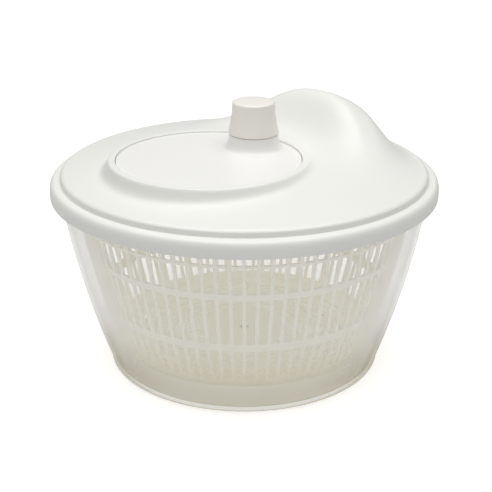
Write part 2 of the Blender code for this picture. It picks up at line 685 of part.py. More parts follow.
def make_lid():
    bm = bmesh.new()
    bore = JOURNAL_R + RUN_GAP + CRANK_BUSH_WALL + SEAT_GAP
    well = [
        (bore, WELL_Z), (WELL_R, WELL_Z), (WELL_R, COLLAR_Z - COLLAR_EDGE),
        (WELL_R + COLLAR_EDGE, COLLAR_Z),
    ]
    edge = [
        (STEP_R - 0.35 * STEP_ROUND, STEP_Z - 0.25 * STEP_ROLL),
        (STEP_R, STEP_Z - STEP_ROLL),
        (STEP_R, FLANGE_TOP_Z),
        (LID_R - FLANGE_ROUND, FLANGE_TOP_Z),
        (LID_R - 0.43 * FLANGE_ROUND, FLANGE_TOP_Z - 0.18 * FLANGE_ROLL),
        (LID_R - 0.12 * FLANGE_ROUND, FLANGE_TOP_Z - 0.53 * FLANGE_ROLL),
        (LID_R, FLANGE_TOP_Z - FLANGE_ROLL),
        (LID_R, FLANGE_BOTTOM_Z),
        (FLANGE_INNER_R, FLANGE_BOTTOM_Z),
        (FLANGE_INNER_R, SEAT_Z),
        (SKIRT_R, SEAT_Z),
        (SKIRT_R, SEAT_Z - SKIRT_DROP),
        (SKIRT_R - LID_WALL, SEAT_Z - SKIRT_DROP),
    ]
    well_back = [
        (WELL_R + LID_WALL, WELL_BOTTOM_Z), (bore + BOSS_WALL, WELL_BOTTOM_Z),
        (bore + BOSS_WALL, BEARING_Z), (bore, BEARING_Z),
    ]
    top_shares = (0.12, 0.25, 0.38, 0.52, 0.66, 0.8, 0.91, 1.0)
    under_shares = (1.0, 0.85, 0.7, 0.55, 0.4, 0.25, 0.12, 0.0)
    rings = [level_ring(bm, CRANK_AXIS, *point) for point in well]
    rings += collar_rings(bm)
    rings += spread_rings(bm, COLLAR_R + COLLAR_BLEND, LID_TOP_R, top_shares, 0)
    rings += [level_ring(bm, SPIN_AXIS, *point) for point in edge]
    rings += spread_rings(bm, WELL_R + LID_WALL, SKIRT_R - LID_WALL, under_shares, LID_SKIN)
    rings += [level_ring(bm, CRANK_AXIS, *point) for point in well_back]
    for lower, upper in zip(rings, rings[1:] + rings[:1]):
        join_rings(bm, lower, upper)
    lid = add_object("lid", bm, plastic("lid_plastic", (0.86, 0.85, 0.82), 0.35))
    shaft_bore = SHAFT_R + RUN_GAP + SHAFT_BUSH_WALL + SEAT_GAP
    boss = rod(
        "lid_shaft_boss", shaft_bore + BOSS_WALL, BEARING_Z, WELL_BOTTOM_Z + 0.5 * WELL_FLOOR,
        MID_SIDES,
    )
    cutter = rod(
        "lid_shaft_cutter", shaft_bore, BEARING_Z - CUT_PAST, WELL_Z + CUT_PAST, MID_SIDES
    )
    combine(lid, boss, "UNION")
    combine(lid, cutter, "DIFFERENCE")


def make_bushes():
    acetal = plastic("bush_acetal", (0.70, 0.69, 0.65), 0.35)
    crank_bore = JOURNAL_R + RUN_GAP
    crank_outer = crank_bore + CRANK_BUSH_WALL
    flanged_bush(
        "crank_bush", crank_bore, crank_outer, crank_outer + BUSH_FLANGE, BEARING_Z,
        acetal, place=CRANK_AXIS,
    )
    shaft_inner = SHAFT_R + RUN_GAP
    shaft_outer = shaft_inner + SHAFT_BUSH_WALL
    flanged_bush(
        "shaft_bush", shaft_inner, shaft_outer, shaft_outer + 0.7 * BUSH_FLANGE, BEARING_Z,
        acetal,
    )


# ---------------------------------------------------------------- gears

def involute(angle):
    return math.tan(angle) - angle


def gear_outline(teeth, root_r, tip_r, thickness, turn):
    """Outline of a spur gear with involute flanks, one tooth pointing along turn."""
    pitch_r = GEAR_MODULE * teeth / 2
    base_r = pitch_r * math.cos(PRESSURE_ANGLE)
    flank = [root_r, tip_r]
    if root_r < base_r:
        flank = [root_r, base_r, 0.5 * (base_r + tip_r), tip_r]

    def half_angle(radius):
        here = math.acos(min(base_r / radius, 1.0))
        return 0.5 * thickness / pitch_r + involute(PRESSURE_ANGLE) - involute(here)

    outline = []
    for tooth in range(teeth):
        middle = turn + math.tau * tooth / teeth
        rising = [(radius, middle - half_angle(radius)) for radius in flank]
        falling = [(radius, middle + half_angle(radius)) for radius in reversed(flank)]
        outline += rising + falling
    return [(radius * math.cos(angle), radius * math.sin(angle)) for radius, angle in outline]


def ring_outline():
    """The ring gear's outside: a circle with a round lug for each screw."""
    lug_half = math.degrees(math.asin(LUG_R / LUG_ORBIT))
    points = []
    steps = BIG_SIDES
    for step in range(steps):
        angle = 360 * step / steps
        if all(abs((angle - lug + 180) % 360 - 180) > lug_half + 1 for lug in LUG_ANGLES):
            points.append((angle, direction(angle, RING_OUTER_R)))
    for lug in LUG_ANGLES:
        for turn in (-90, -60, -30, 0, 30, 60, 90):
            point = direction(lug, LUG_ORBIT) + direction(lug + turn, LUG_R)
            points.append((math.degrees(math.atan2(point.y, point.x)) % 360, point))
    points.sort(key=lambda entry: entry[0])
    return [(point.x, point.y) for _, point in points]


def make_ring_gear(parent):
    """Teeth inside, three lugs outside, each lug bored for a screw from below."""
    half_pitch = 0.5 * math.pi * GEAR_MODULE
    teeth = gear_outline(
        RING_TEETH, RING_PITCH_R - RING_ADDENDUM, RING_ROOT_R, half_pitch + TOOTH_PLAY,
        math.radians(HUMP_TURN),
    )
    bm = bmesh.new()
    for outline in (teeth, ring_outline()):
        verts = [bm.verts.new((x, y, RING_BOTTOM_Z)) for x, y in outline]
        for pair in pairs_round(verts):
            bm.edges.new(pair)
    faces = bmesh.ops.triangle_fill(bm, edges=bm.edges, use_beauty=True)["geom"]
    faces = [item for item in faces if isinstance(item, bmesh.types.BMFace)]
    raised = bmesh.ops.extrude_face_region(bm, geom=faces)["geom"]
    corners = [item for item in raised if isinstance(item, bmesh.types.BMVert)]
    bmesh.ops.translate(bm, verts=corners, vec=(0, 0, RING_TOP_Z - RING_BOTTOM_Z))
    grey = plastic("gear_acetal", (0.55, 0.55, 0.54), 0.35)
    ring = add_object("ring_gear", bm, grey, parent)
    seat = RING_BOTTOM_Z + RING_SCREW_HEAD + 2 * SEAT_GAP
    hole, counterbore = RING_SCREW_R + SEAT_GAP, RING_SCREW_HEAD_R + SEAT_GAP
    profile = [
        (0, RING_BOTTOM_Z - CUT_PAST), (counterbore, RING_BOTTOM_Z - CUT_PAST),
        (counterbore, seat), (hole, seat), (hole, RING_TOP_Z + CUT_PAST),
        (0, RING_TOP_Z + CUT_PAST),
    ]
    for number, lug in enumerate(LUG_ANGLES, 1):
        place = direction(lug, LUG_ORBIT)
        cutter = turned(
            f"ring_hole_{number}", profile, SCREW_SIDES, parent=parent, place=place
        )
        combine(ring, cutter, "DIFFERENCE")
        screw(
            f"ring_screw_{number}", RING_SCREW_R, DISC_BOTTOM_Z + RING_SCREW_BITE - seat + SEAT_GAP,
            RING_SCREW_HEAD_R, RING_SCREW_HEAD, seat - SEAT_GAP, steel(f"screw_{number}_steel"),
            parent, place,
        )


def make_pinion():
    """Pinion, journal and square end in one moulding, tapped for the plate's screw."""
    drive = axis_empty("drive_axis", SPIN_AXIS)
    half_pitch = 0.5 * math.pi * GEAR_MODULE
    outline = gear_outline(
        PINION_TEETH, PINION_PITCH_R - 1.25 * GEAR_MODULE, PINION_PITCH_R + GEAR_MODULE,
        half_pitch - TOOTH_PLAY, math.radians(HUMP_TURN),
    )
    grey = plastic("pinion_acetal", (0.50, 0.50, 0.49), 0.35)
    pinion = prism(
        "pinion", outline, PINION_BOTTOM_Z, PINION_TOP_Z, material=grey, parent=drive
    )
    middle = 0.5 * (PINION_BOTTOM_Z + PINION_TOP_Z)
    journal = rod("pinion_journal", SHAFT_R, PLATE_HUB_Z + SEAT_GAP, middle, MID_SIDES, parent=drive)
    half = 0.5 * SHAFT_SQUARE
    square = [(half, half), (-half, half), (-half, -half), (half, -half)]
    end = prism("pinion_square", square, SHAFT_END_Z, BEARING_Z, parent=drive)
    hole = rod(
        "pinion_hole", PLATE_SCREW_R + SEAT_GAP, SHAFT_END_Z - CUT_PAST,
        PLATE_BOTTOM_Z + PLATE_SCREW_LENGTH + SEAT_GAP, SCREW_SIDES, parent=drive,
    )
    combine(pinion, journal, "UNION")
    combine(pinion, end, "UNION")
    combine(pinion, hole, "DIFFERENCE")
    return drive


# ---------------------------------------------------------------- crank

def make_disc(crank):
    profile = [
        (0, DISC_TOP_Z), (DISC_R - DISC_ROUND, DISC_TOP_Z),
        (DISC_R - 0.3 * DISC_ROUND, DISC_TOP_Z - 0.3 * DISC_ROUND),
        (DISC_R, DISC_TOP_Z - DISC_ROUND), (DISC_R, DISC_BOTTOM_Z), (HUB_R, DISC_BOTTOM_Z),
        (HUB_R, BUSH_FACE_Z + RUN_GAP), (JOURNAL_R, BUSH_FACE_Z + RUN_GAP),
        (JOURNAL_R, JOURNAL_END_Z), (CRANK_SCREW_R + SEAT_GAP, JOURNAL_END_Z),
        (CRANK_SCREW_R + SEAT_GAP, BEARING_Z + CRANK_SCREW_LENGTH),
        (0, BEARING_Z + CRANK_SCREW_LENGTH),
    ]
    white = plastic("disc_plastic", (0.87, 0.86, 0.83), 0.3)
    disc = turned("crank_disc", profile, BIG_SIDES, material=white, parent=crank)
    knob_place = direction(KNOB_TURN, KNOB_ORBIT)
    cove = [
        (PEDESTAL_TOP_R + (PEDESTAL_R - PEDESTAL_TOP_R) * out, DISC_TOP_Z + PEDESTAL_HEIGHT * up)
        for out, up in ((1, 0.03), (0.62, 0.12), (0.34, 0.32), (0.14, 0.62), (0.04, 0.92))
    ]
    sunk = DISC_TOP_Z - 0.5 * DISC_THICKNESS
    pedestal = turned("pedestal", [
        (0, sunk), (PEDESTAL_R, sunk), *cove, (PEDESTAL_TOP_R - PEDESTAL_EDGE, PEDESTAL_Z),
        (0, PEDESTAL_Z),
    ], MID_SIDES, parent=crank, place=knob_place)
    cavity = turned("pedestal_cavity", [
        (0, DISC_BOTTOM_Z - CUT_PAST), (PEDESTAL_CAVITY_R, DISC_BOTTOM_Z - CUT_PAST),
        (PEDESTAL_CAVITY_R, PEDESTAL_Z - PEDESTAL_SKIN), (0, PEDESTAL_Z - PEDESTAL_SKIN),
    ], MID_SIDES, parent=crank, place=knob_place)
    hole = rod(
        "pedestal_hole", SPINDLE_R + RUN_GAP, PEDESTAL_Z - PEDESTAL_SKIN - CUT_PAST,
        PEDESTAL_Z + CUT_PAST, SMALL_SIDES, parent=crank, place=knob_place,
    )
    combine(disc, pedestal, "UNION")
    combine(disc, cavity, "DIFFERENCE")
    combine(disc, hole, "DIFFERENCE")
    for number, lug in enumerate(LUG_ANGLES, 1):
        blind = rod(
            f"disc_hole_{number}", RING_SCREW_R + SEAT_GAP, DISC_BOTTOM_Z - CUT_PAST,
            DISC_BOTTOM_Z + RING_SCREW_BITE + SEAT_GAP, SCREW_SIDES, parent=crank,
            place=direction(lug, LUG_ORBIT),
        )
        combine(disc, blind, "DIFFERENCE")


def make_crank_fastening(crank):
    washer_top = JOURNAL_END_Z - SEAT_GAP
    washer_bottom = washer_top - WASHER_THICKNESS
    bore = CRANK_SCREW_R + SEAT_GAP
    profile = [
        (bore, washer_bottom), (WASHER_R, washer_bottom), (WASHER_R, washer_top),
        (bore, washer_top),
    ]
    turned("crank_washer", profile, MID_SIDES, material=steel("washer_steel"), parent=crank)
    seat = washer_bottom - SEAT_GAP
    length = BEARING_Z + CRANK_SCREW_LENGTH - SEAT_GAP - seat
    screw(
        "crank_screw", CRANK_SCREW_R, length, CRANK_SCREW_HEAD_R, CRANK_SCREW_HEAD, seat,
        steel("crank_screw_steel"), crank,
    )


def make_knob(crank):
    axis = axis_empty("knob_axis", direction(KNOB_TURN, KNOB_ORBIT), crank)
    side = []
    steps = 4
    top = KNOB_HEIGHT - KNOB_ROUND
    for step in range(steps + 1):
        share = step / steps
        radius = KNOB_TOP_R + (KNOB_FOOT_R - KNOB_TOP_R) * (1 - share) ** KNOB_WAIST
        side.append((radius, KNOB_Z + KNOB_EDGE + (top - KNOB_EDGE) * share))
    bore = SPINDLE_R + SEAT_GAP
    profile = [
        (0, KNOB_Z + SPINDLE_GRIP + SEAT_GAP), (bore, KNOB_Z + SPINDLE_GRIP + SEAT_GAP),
        (bore, KNOB_Z), (KNOB_FOOT_R - KNOB_EDGE, KNOB_Z), *side,
        (KNOB_TOP_R - 0.3 * KNOB_ROUND, KNOB_TOP_Z - 0.3 * KNOB_ROUND),
        (KNOB_TOP_R - KNOB_ROUND, KNOB_TOP_Z), (0, KNOB_TOP_Z),
    ]
    white = plastic("knob_plastic", (0.84, 0.82, 0.79), 0.32)
    turned("knob", profile, MID_SIDES, material=white, parent=axis)
    flange_top = PEDESTAL_Z - PEDESTAL_SKIN - RUN_GAP
    profile = [
        (0, flange_top - SPINDLE_FLANGE), (SPINDLE_FLANGE_R, flange_top - SPINDLE_FLANGE),
        (SPINDLE_FLANGE_R, flange_top), (SPINDLE_R, flange_top),
        (SPINDLE_R, KNOB_Z + SPINDLE_GRIP), (0, KNOB_Z + SPINDLE_GRIP),
    ]
    grey = plastic("spindle_acetal", (0.55, 0.55, 0.54), 0.35)
    turned("knob_spindle", profile, SMALL_SIDES, material=grey, parent=axis)


# ---------------------------------------------------------------- drive plate

def make_drive_plate(drive):
    """The plate over the basket, its lugs in the notches of the basket's rim."""
    basket_inside = basket_radius(PLATE_TOP_Z) - BASKET_WALL
    edge = basket_inside - PLATE_GAP
    skirt = edge - PLATE_SKIRT_INSET
    hole = PLATE_SCREW_R + SEAT_GAP
    profile = [
        (hole, PLATE_BOTTOM_Z), (skirt - LID_WALL, PLATE_BOTTOM_Z),
        (skirt - LID_WALL, PLATE_BOTTOM_Z - PLATE_SKIRT), (skirt, PLATE_BOTTOM_Z - PLATE_SKIRT),
        (skirt, PLATE_BOTTOM_Z), (edge, PLATE_BOTTOM_Z), (edge, PLATE_TOP_Z),
        (PLATE_HUB_R, PLATE_TOP_Z), (PLATE_HUB_R, PLATE_HUB_Z), (hole, PLATE_HUB_Z),
    ]
    white = plastic("plate_plastic", (0.80, 0.79, 0.76), 0.4)
    plate = turned("drive_plate", profile, BIG_SIDES, material=white, parent=drive)
    half = 0.5 * SHAFT_SQUARE + SEAT_GAP
    square = [(half, half), (-half, half), (-half, -half), (half, -half)]
    socket = prism(
        "plate_socket", square, PLATE_BOTTOM_Z + PLATE_WEB, PLATE_HUB_Z + CUT_PAST, parent=drive
    )
    combine(plate, socket, "DIFFERENCE")
    reach = basket_inside + LUG_REACH
    pitch = math.tau / RIB_COUNT
    width = (reach * pitch - RIB_WIDTH) - 2 * LUG_GAP
    for number in range(NOTCH_COUNT):
        lug = prism(f"plate_lug_{number + 1}", [
            (skirt, -width / 2), (reach, -width / 2), (reach, width / 2), (skirt, width / 2),
        ], PLATE_BOTTOM_Z + LUG_THINNER, PLATE_TOP_Z - LUG_THINNER, parent=drive)
        lug.rotation_euler.z = pitch / 2 + number * math.tau / NOTCH_COUNT
        combine(plate, lug, "UNION")
    seat = PLATE_BOTTOM_Z - SEAT_GAP
    screw(
        "plate_screw", PLATE_SCREW_R, PLATE_SCREW_LENGTH, PLATE_SCREW_HEAD_R, PLATE_SCREW_HEAD,
        seat, steel("plate_screw_steel"), drive,
    )


def main():
    clear_scene()
    make_bowl()
    make_pivot()
    make_basket()
    make_lid()
    make_bushes()
    crank = axis_empty("crank_axis", CRANK_AXIS)
    make_disc(crank)
    make_ring_gear(crank)
    make_crank_fastening(crank)
    make_knob(crank)
    drive = make_pinion()
    make_drive_plate(drive)


main()
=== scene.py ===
"""Looks of the salad spinner: fine shells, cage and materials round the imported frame."""
import math

import bmesh
import bpy
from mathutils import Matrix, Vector


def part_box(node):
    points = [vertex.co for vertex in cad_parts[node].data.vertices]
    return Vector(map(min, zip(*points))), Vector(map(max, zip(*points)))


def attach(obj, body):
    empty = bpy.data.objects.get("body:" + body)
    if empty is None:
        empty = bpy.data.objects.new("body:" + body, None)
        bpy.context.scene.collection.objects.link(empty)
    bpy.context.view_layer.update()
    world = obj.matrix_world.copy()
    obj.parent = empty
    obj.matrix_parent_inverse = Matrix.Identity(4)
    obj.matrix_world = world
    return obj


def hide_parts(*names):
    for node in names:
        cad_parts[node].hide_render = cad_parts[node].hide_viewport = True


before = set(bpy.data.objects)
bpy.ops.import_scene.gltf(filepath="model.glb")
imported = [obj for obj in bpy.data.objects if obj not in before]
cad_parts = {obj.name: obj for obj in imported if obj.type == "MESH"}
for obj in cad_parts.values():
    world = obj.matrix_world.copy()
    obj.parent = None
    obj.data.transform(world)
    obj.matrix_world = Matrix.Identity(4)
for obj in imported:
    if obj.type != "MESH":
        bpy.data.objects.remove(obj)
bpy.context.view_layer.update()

MM = 0.001

# Places and outside sizes, read from the frame
LID_LOW, LID_HIGH = (Vector(corner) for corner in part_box("lid"))
BOWL_HIGH = Vector(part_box("bowl")[1])
BASKET_HIGH = Vector(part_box("basket")[1])
KNOB_LOW, KNOB_HIGH = (Vector(corner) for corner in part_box("knob"))
DISC_LOW, DISC_HIGH = (Vector(corner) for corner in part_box("crank_disc"))

SPIN_AXIS = Vector((0, 0, 0))
CRANK_AXIS = Vector(((DISC_LOW.x + DISC_HIGH.x) / 2, (DISC_LOW.y + DISC_HIGH.y) / 2, 0))
KNOB_AXIS = Vector(((KNOB_LOW.x + KNOB_HIGH.x) / 2, (KNOB_LOW.y + KNOB_HIGH.y) / 2, 0))

# Lid
LID_R = LID_HIGH.x
FLANGE_BOTTOM_Z = LID_LOW.z
SEAT_Z = BOWL_HIGH.z + 0.3 * MM
FLANGE_TOP_Z = SEAT_Z + 2.1 * MM
STEP_Z = SEAT_Z + 6.7 * MM
STEP_R = LID_R - 6.8 * MM
STEP_ROUND = 3.4 * MM
LID_TOP_R = STEP_R - STEP_ROUND
FLANGE_INNER_R = LID_R - 2.0 * MM
SKIRT_R = BOWL_HIGH.x - 5.9 * MM
SKIRT_Z = SEAT_Z - 2.9 * MM
LID_WALL = 2.0 * MM
LID_SKIN = 2.2 * MM
STEP_FALL = 2.2 * MM            # depth of the step's rolled edge
FLANGE_ROUND = 3.0 * MM         # the flange's rolled edge, inwards
FLANGE_FALL = 5.0 * MM          # and downwards
DOME_RISE = 12.3 * MM
DOME_POWER = 1.6
DOME_TILT = 0.33
HUMP_TURN = 41.5
HUMP_HEIGHT = 28.2 * MM
HUMP_REACH = 65.4 * MM
HUMP_LENGTH = 36.9 * MM
HUMP_WIDTH = 55.3 * MM
HUMP_POWER = 2.6
HUMP_BLEND_IN = 36.0 * MM
HUMP_BLEND_OUT = 29.7 * MM

# Crank disc, its well and the knob
DISC_R = (DISC_HIGH.x - DISC_LOW.x) / 2
DISC_TOP_Z = STEP_Z + 10.6 * MM
DISC_BOTTOM_Z = DISC_TOP_Z - 2.7 * MM
PEDESTAL_Z = DISC_HIGH.z
COLLAR_Z = DISC_TOP_Z + 0.8 * MM
WELL_R = DISC_R + 0.35 * MM
COLLAR_R = WELL_R + 3.7 * MM
COLLAR_BLEND = 0.5 * (LID_TOP_R - CRANK_AXIS.length - COLLAR_R)
WELL_Z = DISC_TOP_Z - 10.4 * MM
WELL_BOTTOM_Z = WELL_Z - 2.2 * MM
BEARING_Z = WELL_BOTTOM_Z - 2.4 * MM
CRANK_BORE_R = 8.3 * MM
BOSS_R = CRANK_BORE_R + 2.7 * MM
HUB_BORE_R = 6.0 * MM
HUB_R = 9.0 * MM
HUB_DROP = 6.0 * MM             # how far the wide part of the hub hangs below the disc
COVE_R = 18.6 * MM              # foot of the sweep up to the knob
COVE_POWER = 1.7
SPINDLE_R = 3.3 * MM
SPINDLE_HOLE = 2.1 * MM         # its depth in the disc
KNOB_HOLLOW = 13.0 * MM         # its depth in the knob
KNOB_WAIST = 1.7
KNOB_FOOT_R = (KNOB_HIGH.x - KNOB_LOW.x) / 2
KNOB_TOP_R = 13.2 * MM

# Basket
RIB_COUNT = 80
RIB_WIDTH = 2.2 * MM
SPIN_GAP = 6.5 * MM
BASKET_WALL = 1.8 * MM
BASKET_FLOOR = 2.0 * MM
BASKET_FLOOR_Z = 15.5 * MM
BASKET_RIM_Z = BASKET_HIGH.z
BASKET_CORNER = 3.5 * MM
SLOT_ROW_EDGES = [              # (height, whether slots start there)
    (21.8 * MM, True), (43.36 * MM, False), (48.86 * MM, True), (79.6 * MM, False),
    (83.9 * MM, True), (100.5 * MM, False), (102.5 * MM, True), (107.0 * MM, False),
    (BASKET_RIM_Z, False),
]
NOTCH_Z = 107.0 * MM            # bottom of the four rim notches
NOTCH_COUNT = 4
RIM_FLARE = 1.5 * MM
RIM_FLARE_Z = 109.0 * MM        # where the rim starts to flare
RIM_FLARE_RISE = 8.0 * MM
FLOOR_SPOKES = 10
FLOOR_SPOKE_WIDTH = 3.5 * MM
FLOOR_DISC_R = 29.5 * MM
FLOOR_SLOT = 2.6 * MM
FLOOR_LAND = 3.6 * MM
SPOKE_TURN = math.radians(-95)
EYE_R = 2.1 * MM                # stepped hole for the pivot bush's snap head
EYE_STEP_R = 3.4 * MM
EYE_STEP = 1.0 * MM

# Bowl
BOWL_WALL = 2.0 * MM
FOOT_R = 82.0 * MM
WALL_START_R = 87.0 * MM
WALL_START_Z = 8.0 * MM
LIP_R = BOWL_HIGH.x
LIP_HEIGHT = 2.8 * MM
BOWL_TOP_R = LIP_R - 3.0 * MM
BOWL_BELLY = 0.45
BOWL_FLOOR_Z = 1.5 * MM
BOWL_FLOOR_TOP = BOWL_FLOOR_Z + BOWL_WALL
PIN_BOSS_R = 7.0 * MM
PIN_BOSS_Z = BOWL_FLOOR_TOP + 4.5 * MM
PIN_BORE_R = 2.3 * MM

FINE = 192                      # sides of the round shells


# ---------------------------------------------------------------- helpers

def direction(degrees, reach=1.0):
    """Level vector of that length, turned from +X."""
    turn = math.radians(degrees)
    return Vector((reach * math.cos(turn), reach * math.sin(turn), 0))


def smooth_step(value):
    value = min(max(value, 0.0), 1.0)
    return value * value * (3 - 2 * value)


def rounded(points, steps=4):
    """A closed or open outline of (radius, height, fillet) with each corner's fillet cut in."""
    outline = []
    count = len(points)
    for place, (x, z, fillet) in enumerate(points):
        if not fillet or (place in (0, count - 1) and points[0][0] == 0):
            outline.append((x, z))
            continue
        here = Vector((x, z))
        before = Vector(points[place - 1][:2]) - here
        after = Vector(points[(place + 1) % count][:2]) - here
        start = here + before.normalized() * min(fillet, 0.49 * before.length)
        end = here + after.normalized() * min(fillet, 0.49 * after.length)
        for step in range(steps + 1):
            share = step / steps
            point = start * (1 - share) ** 2 + here * 2 * share * (1 - share) + end * share ** 2
            outline.append((point.x, point.y))
    return outline


def finish_mesh(name, bm, body, material, angle=40):
    """Turn a bmesh into a piece that rides on a body."""
    bmesh.ops.recalc_face_normals(bm, faces=bm.faces)
    mesh = bpy.data.meshes.new(name)
    bm.to_mesh(mesh)
    bm.free()
    mesh.shade_smooth()
    mesh.set_sharp_from_angle(angle=math.radians(angle))
    mesh.materials.append(material)
    piece = bpy.data.objects.new(name, mesh)
    bpy.context.scene.collection.objects.link(piece)
    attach(piece, body)
    return piece


def turned_mesh(profile, centre, sides=FINE):
    """A bmesh of the (radius, height) profile turned about the vertical through centre."""
    bm = bmesh.new()
    verts = [bm.verts.new((centre.x + radius, centre.y, height)) for radius, height in profile]
    edges = [bm.edges.new(pair) for pair in zip(verts, verts[1:])]
    if profile[0][0] > 0:
        edges.append(bm.edges.new((verts[-1], verts[0])))
    bmesh.ops.spin(
        bm, geom=verts + edges, cent=(centre.x, centre.y, 0), axis=(0, 0, 1),
        angle=math.tau, steps=sides, use_merge=True,
    )
    bmesh.ops.remove_doubles(bm, verts=bm.verts, dist=1e-6)
    return bm


def ring_of_verts(bm, radius, height, angles):
    return [
        bm.verts.new((radius * math.cos(turn), radius * math.sin(turn), height))
        for turn in angles
    ]


def pairs_round(ring):
    return list(zip(ring, ring[1:] + ring[:1]))


def join_rings(bm, lower, upper):
    for (a, b), (d, c) in zip(pairs_round(lower), pairs_round(upper)):
        bm.faces.new((a, b, c, d))


# ---------------------------------------------------------------- materials

def moulded(name, colour, roughness, grain=0.02, tint=0.015):
    """Injection-moulded plastic: a fine grain in the gloss and bump, faint uneven colour."""
    material = bpy.data.materials.new(name)
    material.use_nodes = True
    tree = material.node_tree
    shader = tree.nodes["Principled BSDF"]
    place = tree.nodes.new("ShaderNodeTexCoord")
    flow = tree.nodes.new("ShaderNodeTexNoise")
    flow.inputs["Scale"].default_value = 14
    flow.inputs["Detail"].default_value = 3
    tree.links.new(place.outputs["Object"], flow.inputs["Vector"])
    blend = tree.nodes.new("ShaderNodeMix")
    blend.data_type = "RGBA"
    blend.inputs[6].default_value = (*(value * (1 - tint) for value in colour), 1)
    blend.inputs[7].default_value = (*(min(value * (1 + tint), 1) for value in colour), 1)
    tree.links.new(flow.outputs["Fac"], blend.inputs[0])
    tree.links.new(blend.outputs[2], shader.inputs["Base Color"])
    fine = tree.nodes.new("ShaderNodeTexNoise")
    fine.inputs["Scale"].default_value = 1400
    fine.inputs["Detail"].default_value = 2
    tree.links.new(place.outputs["Object"], fine.inputs["Vector"])
    gloss = tree.nodes.new("ShaderNodeMapRange")
    gloss.inputs["To Min"].default_value = roughness - 0.04
    gloss.inputs["To Max"].default_value = roughness + 0.04
    tree.links.new(fine.outputs["Fac"], gloss.inputs["Value"])
    tree.links.new(gloss.outputs["Result"], shader.inputs["Roughness"])
    bump = tree.nodes.new("ShaderNodeBump")
    bump.inputs["Strength"].default_value = grain
    bump.inputs["Distance"].default_value = 0.05 * MM
    tree.links.new(fine.outputs["Fac"], bump.inputs["Height"])
    tree.links.new(bump.outputs["Normal"], shader.inputs["Normal"])
    shader.inputs["IOR"].default_value = 1.49
    return material


def height_range(tree, low, high):
    """A smooth ramp over the height in the piece's own space."""
    place = tree.nodes.new("ShaderNodeTexCoord")
    split = tree.nodes.new("ShaderNodeSeparateXYZ")
    tree.links.new(place.outputs["Object"], split.inputs["Vector"])
    ramp = tree.nodes.new("ShaderNodeMapRange")
    ramp.interpolation_type = "SMOOTHSTEP"
    ramp.inputs["From Min"].default_value = low
    ramp.inputs["From Max"].default_value = high
    tree.links.new(split.outputs["Z"], ramp.inputs["Value"])
    return ramp


def frosted(name, colour, foot_painted_tint, thin, thick):
    """Translucent frosted plastic: a white veil, denser where the wall is seen at a slant.

    Towards the foot the colour is painted darker and yellower, standing in for light scattered
    in the thick moulding. The colour is also emitted as a painted glow.
    """
    material = moulded(name, colour, 0.42, grain=0.05)
    tree = material.node_tree
    shader = tree.nodes["Principled BSDF"]
    slant = tree.nodes.new("ShaderNodeLayerWeight")
    slant.inputs["Blend"].default_value = 0.35
    veil = tree.nodes.new("ShaderNodeMapRange")
    veil.inputs["From Min"].default_value = 0.33
    veil.inputs["To Min"].default_value = thin
    veil.inputs["To Max"].default_value = thick
    tree.links.new(slant.outputs["Facing"], veil.inputs["Value"])
    tree.links.new(veil.outputs["Result"], shader.inputs["Alpha"])
    # Painted tint: darker and yellower towards the foot, standing in for light scattered in the
    # thick moulding
    height = height_range(tree, 4 * MM, 50 * MM)
    blend = tree.nodes.new("ShaderNodeMix")
    blend.data_type = "RGBA"
    blend.inputs[6].default_value = (*foot_painted_tint, 1)
    tree.links.new(height.outputs["Result"], blend.inputs[0])
    tree.links.new(shader.inputs["Base Color"].links[0].from_socket, blend.inputs[7])
    tree.links.new(blend.outputs[2], shader.inputs["Base Color"])
    # Painted glow: the veil's colour is emitted as well
    tree.links.new(blend.outputs[2], shader.inputs["Emission Color"])
    shader.inputs["Emission Strength"].default_value = 0.11
    return material


def painted_glow(material, colour, floor_painted_glow, wall_painted_glow):
    """Painted glow: an emission on a thin white moulding stands in for light passing through it
    from its far side, the floor most.
    """
    tree = material.node_tree
    shader = tree.nodes["Principled BSDF"]
    shader.inputs["Emission Color"].default_value = (*colour, 1)
    # Painted glow, stronger on the floor than on the wall
    glow = height_range(tree, 20 * MM, 45 * MM)
    glow.inputs["To Min"].default_value = floor_painted_glow
    glow.inputs["To Max"].default_value = wall_painted_glow
    tree.links.new(glow.outputs["Result"], shader.inputs["Emission Strength"])


def metal(name, colour, roughness):
    """Plated or polished steel."""
    material = moulded(name, colour, roughness, grain=0.03, tint=0.03)
    material.node_tree.nodes["Principled BSDF"].inputs["Metallic"].default_value = 1
    return material


LID_WHITE = moulded("lid_white", (0.85, 0.85, 0.81), 0.36)
DISC_WHITE = moulded("disc_white", (0.89, 0.885, 0.855), 0.30)
KNOB_WHITE = moulded("knob_white", (0.89, 0.86, 0.80), 0.32)
BASKET_CREAM = moulded("basket_cream", (0.86, 0.85, 0.79), 0.42)
# Painted glow: warm emission on the basket stands in for light reaching it through the bowl
painted_glow(BASKET_CREAM, (1.0, 0.93, 0.68), 0.19, 0.13)
# Bowl: a painted darker, yellower foot and a painted glow of its own colour
BOWL_FROST = frosted("bowl_frost", (0.96, 0.955, 0.94), (0.56, 0.51, 0.34), 0.20, 0.72)
PLATE_WHITE = moulded("plate_white", (0.82, 0.81, 0.78), 0.4)
GEAR_GREY = moulded("gear_grey", (0.55, 0.55, 0.54), 0.38)
BEARING_WHITE = moulded("bearing_white", (0.72, 0.71, 0.67), 0.36)
SCREW_STEEL = metal("screw_zinc", (0.62, 0.62, 0.63), 0.32)
PIN_STEEL = metal("pin_polished", (0.66, 0.66, 0.67), 0.2)


# ---------------------------------------------------------------- bowl

def bowl_radius(height):
    share = (height - WALL_START_Z) / (BOWL_HIGH.z - LIP_HEIGHT - WALL_START_Z)
    return WALL_START_R + (BOWL_TOP_R - WALL_START_R) * share * (1 + BOWL_BELLY * (1 - share))


